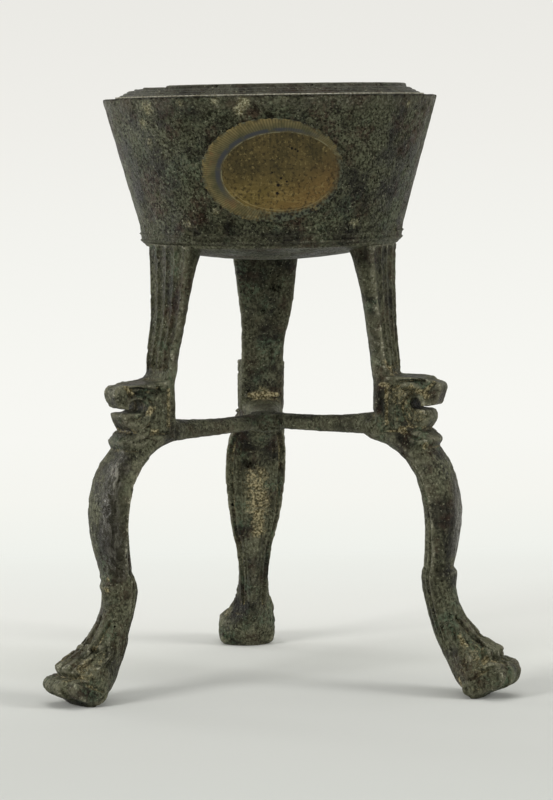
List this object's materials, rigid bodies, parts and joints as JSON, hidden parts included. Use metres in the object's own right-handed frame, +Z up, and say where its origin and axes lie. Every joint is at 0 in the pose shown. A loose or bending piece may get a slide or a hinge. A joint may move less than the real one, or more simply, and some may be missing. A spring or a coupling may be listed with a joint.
{
  "type": "tripod vase",
  "caption": "Small cast-bronze tripod vase: a flaring cup on fluted uprights with beast heads, carried by lion legs joined by arms at a central hub.",
  "frame": {"origin": "on the table plane, under the middle of the bounding box", "axes": "+Z up; +Y towards the rear leg; +X towards the right leg's side when the label faces the viewer"},
  "size_m": [0.102, 0.0928, 0.1294],
  "materials": {
    "cast_bronze": "cast bronze under a dark olive patina with verdigris and soil in the recesses",
    "braze": "crusted joint of solder and soil",
    "label_paper": "old ochre paper, matte, pitted and worn at the edge"
  },
  "bodies": {
    "root": {"bowl_body": "cast_bronze", "bowl_floor": "cast_bronze", "mouth_collar": "cast_bronze", "inventory_label": "label_paper", "arm_hub": "braze", "left_post": "cast_bronze", "left_head": "cast_bronze", "left_leg": "cast_bronze", "left_arm": "cast_bronze", "right_post": "cast_bronze", "right_head": "cast_bronze", "right_leg": "cast_bronze", "right_arm": "cast_bronze", "rear_post": "cast_bronze", "rear_head": "cast_bronze", "rear_leg": "cast_bronze", "rear_arm": "cast_bronze"}
  },
  "joints": []
}
